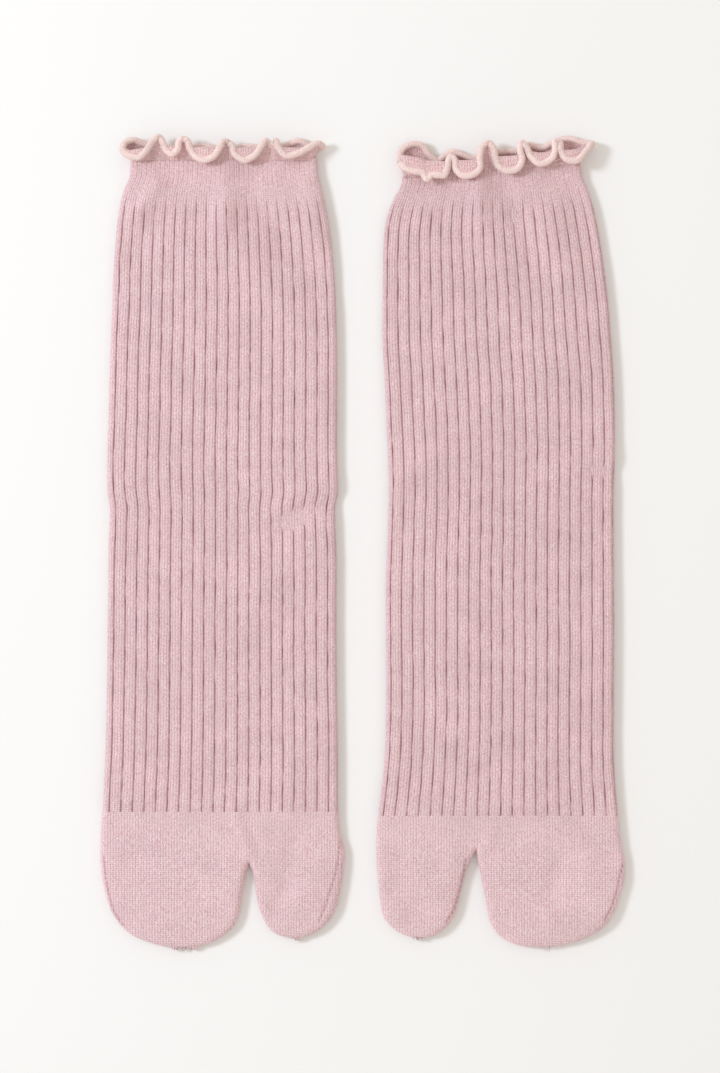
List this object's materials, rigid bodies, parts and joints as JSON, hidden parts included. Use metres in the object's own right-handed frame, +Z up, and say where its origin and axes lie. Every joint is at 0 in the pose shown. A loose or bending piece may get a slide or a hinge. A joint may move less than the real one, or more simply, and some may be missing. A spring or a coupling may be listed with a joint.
{
  "type": "pair of tabi socks",
  "caption": "Pair of ribbed split-toe tabi socks laid flat side by side, with a plain knitted toe, a narrow gathered cuff and a ruffled rolled edge.",
  "frame": {"origin": "middle of the pair's underside, on the surface that the socks lie on", "axes": "+Z up out of that surface, +Y along the socks from the toes to the cuffs, +X from the right foot's sock towards the left foot's sock"},
  "size_m": [0.2022, 0.3122, 0.0087],
  "materials": {
    "rib_knit": "heathered dusty pink 3 by 1 rib knit, soft and slightly fuzzy",
    "plain_knit": "heathered dusty pink plain knit",
    "cuff_knit": "heathered dusty pink fine elastic knit",
    "rolled_edge": "peachy pink frill with a stitched rolled edge"
  },
  "bodies": {
    "root": {"right_foot_leg": "rib_knit", "right_foot_toe": "plain_knit", "right_foot_cuff": "cuff_knit", "right_foot_ruffle": "rolled_edge", "left_foot_leg": "rib_knit", "left_foot_toe": "plain_knit", "left_foot_cuff": "cuff_knit", "left_foot_ruffle": "rolled_edge"}
  },
  "joints": []
}
